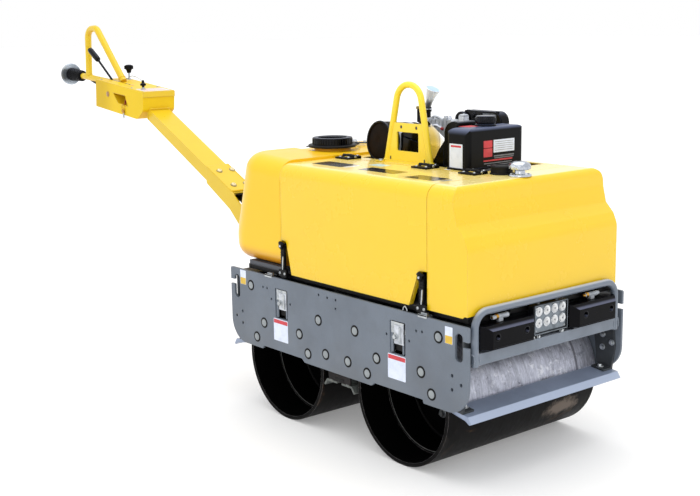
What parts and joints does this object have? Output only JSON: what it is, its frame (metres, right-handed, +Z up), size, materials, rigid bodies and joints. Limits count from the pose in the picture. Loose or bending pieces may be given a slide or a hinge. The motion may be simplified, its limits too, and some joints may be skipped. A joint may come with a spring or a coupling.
{
  "type": "walk-behind double drum roller",
  "caption": "Walk-behind compaction roller with twin smooth steel drums, yellow hood with lifting side doors, water tank and a folding drawbar with controls.",
  "frame": {"origin": "ground level under the middle of the overall length, on the centre plane", "axes": "+X forward, away from the drawbar; +Y to the machine's left; +Z up"},
  "size_m": [2.9875, 0.678, 1.3045],
  "materials": {
    "hood_yellow": "semi-gloss",
    "tank_yellow": "satin moulded",
    "frame_grey": "textured powder coat",
    "black_steel": "satin",
    "black_rubber": "matt",
    "black_plastic": "satin",
    "zinc": "zinc plated",
    "chrome": "polished",
    "drum_steel": "black paint worn to bare steel",
    "engine_grey": "cast",
    "brass": "machined",
    "light_housing": "satin"
  },
  "bodies": {
    "root": {"air_cleaner": "black_plastic", "axle_carriers": "black_steel", "bed_plate": "black_steel", "bumper_blocks": "black_rubber", "cross_members": "black_steel", "cylinder_head": "engine_grey", "deck_grommet": "black_rubber", "door_hinges": "black_steel", "door_latches": "black_rubber", "drawbar_hitch": "frame_grey", "drum_scrapers": "frame_grey", "engine_block": "engine_grey", "exhaust_pipe": "chrome", "fan_housing": "black_plastic", "front_bumper": "frame_grey", "front_hood": "hood_yellow", "fuel_tank": "black_plastic", "hood_deck": "hood_yellow", "inner_scrapers": "frame_grey", "lifting_eye": "hood_yellow", "mount_locks": "zinc", "muffler": "black_steel", "muffler_cone": "zinc", "oil_filler": "chrome", "rubber_mounts": "black_rubber", "scraper_brackets": "frame_grey", "side_plate_left": "frame_grey", "side_plate_right": "frame_grey", "spray_fittings": "brass", "tank_cap": "black_plastic", "water_tank": "tank_yellow", "work_light": "light_housing"},
    "front_drum": {"front_drum_shell": "drum_steel", "front_drum_webs": "black_steel"},
    "rear_drum": {"rear_drum_shell": "drum_steel", "rear_drum_webs": "black_steel"},
    "right_door": {"right_door": "hood_yellow"},
    "left_door": {"left_door": "hood_yellow"},
    "drawbar": {"drawbar_neck": "hood_yellow", "drawbar_beam": "hood_yellow", "control_box": "hood_yellow", "drawbar_handle": "hood_yellow", "stop_button": "black_rubber", "travel_lever": "black_steel", "control_knobs": "black_plastic"}
  },
  "joints": [
    {"name": "front_drum_spin", "type": "hinge", "parent": "root", "child": "front_drum", "pos_m": [1.177, 0, 0.2], "axis": [0, 1, 0], "continuous": true},
    {"name": "rear_drum_spin", "type": "hinge", "parent": "root", "child": "rear_drum", "pos_m": [0.605, 0, 0.2], "axis": [0, 1, 0], "continuous": true},
    {"name": "drawbar_fold", "type": "hinge", "parent": "root", "child": "drawbar", "pos_m": [0.191, 0, 0.446], "axis": [0, 1, 0], "range_deg": [0, 55]},
    {"name": "right_door_lift", "type": "hinge", "parent": "root", "child": "right_door", "pos_m": [0.941, -0.062, 0.864], "axis": [-1, 0, 0], "range_deg": [0, 85]},
    {"name": "left_door_lift", "type": "hinge", "parent": "root", "child": "left_door", "pos_m": [0.941, 0.33, 0.7895], "axis": [1, 0, 0], "range_deg": [0, 90]}
  ]
}
